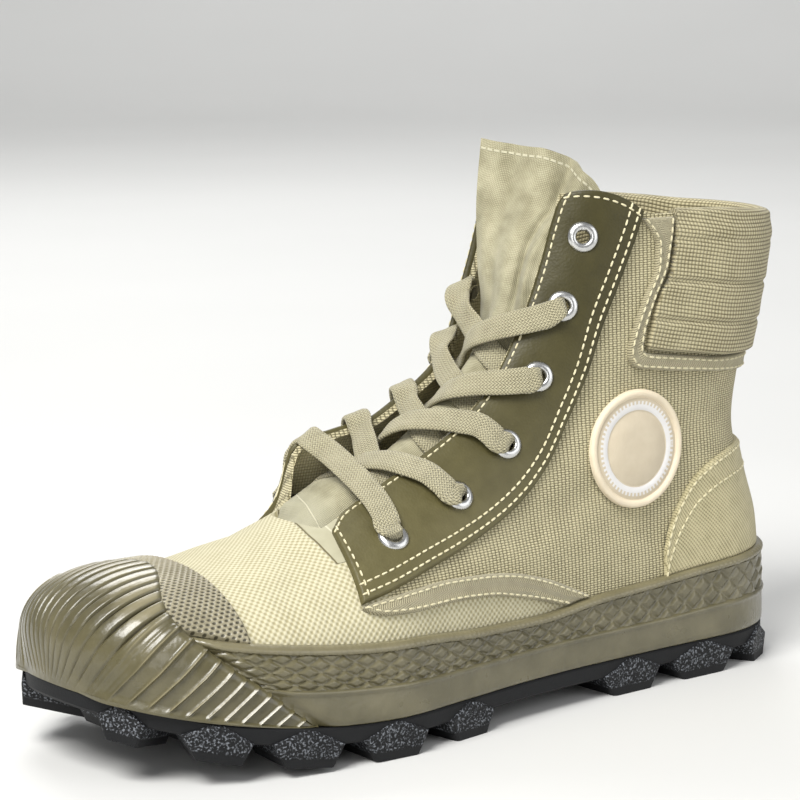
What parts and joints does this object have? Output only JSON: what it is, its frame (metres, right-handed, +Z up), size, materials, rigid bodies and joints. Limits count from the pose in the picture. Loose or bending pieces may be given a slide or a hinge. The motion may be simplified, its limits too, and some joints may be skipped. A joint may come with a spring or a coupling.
{
  "type": "canvas combat boot",
  "caption": "Ankle-high laced canvas boot with ribbed rubber toe cap, two rubber sidewall bands, lugged outsole, leather eyestays and webbing collar; worn on the left foot.",
  "frame": {"origin": "middle of the boot's bounding box in plan, on the floor that the lugs stand on", "axes": "+X from toe to heel, -Y to the outer side of the foot, +Z up"},
  "size_m": [0.294, 0.1074, 0.1896],
  "materials": {
    "outsole_rubber": "matte, stippled",
    "band_rubber": "satin olive",
    "canvas": "coarse woven khaki",
    "leather": "semi-matte olive",
    "webbing": "ribbed elastic webbing",
    "lace_cord": "flat braid",
    "eyelet_metal": "bright nickel",
    "insole_cloth": "plain woven",
    "badge_rubber": "matte beige"
  },
  "bodies": {
    "root": {"ankle_badge": "badge_rubber", "back_strip": "leather", "collar_cuff": "webbing", "collar_tape": "canvas", "eyelet_lateral_1": "eyelet_metal", "eyelet_lateral_2": "eyelet_metal", "eyelet_lateral_3": "eyelet_metal", "eyelet_lateral_4": "eyelet_metal", "eyelet_lateral_5": "eyelet_metal", "eyelet_lateral_6": "eyelet_metal", "eyelet_medial_1": "eyelet_metal", "eyelet_medial_2": "eyelet_metal", "eyelet_medial_3": "eyelet_metal", "eyelet_medial_4": "eyelet_metal", "eyelet_medial_5": "eyelet_metal", "eyelet_medial_6": "eyelet_metal", "eyestay_lateral": "leather", "eyestay_medial": "leather", "heel_counter": "canvas", "insole": "insole_cloth", "lace_bar": "lace_cord", "lace_cross_1": "lace_cord", "lace_cross_2": "lace_cord", "lace_cross_3": "lace_cord", "lace_cross_4": "lace_cord", "outsole": "outsole_rubber", "side_tape_lateral": "canvas", "side_tape_medial": "canvas", "sidewall_band": "band_rubber", "texture_band": "band_rubber", "toe_cap": "band_rubber", "toe_patch": "band_rubber", "tongue": "canvas", "upper": "canvas"}
  },
  "joints": []
}
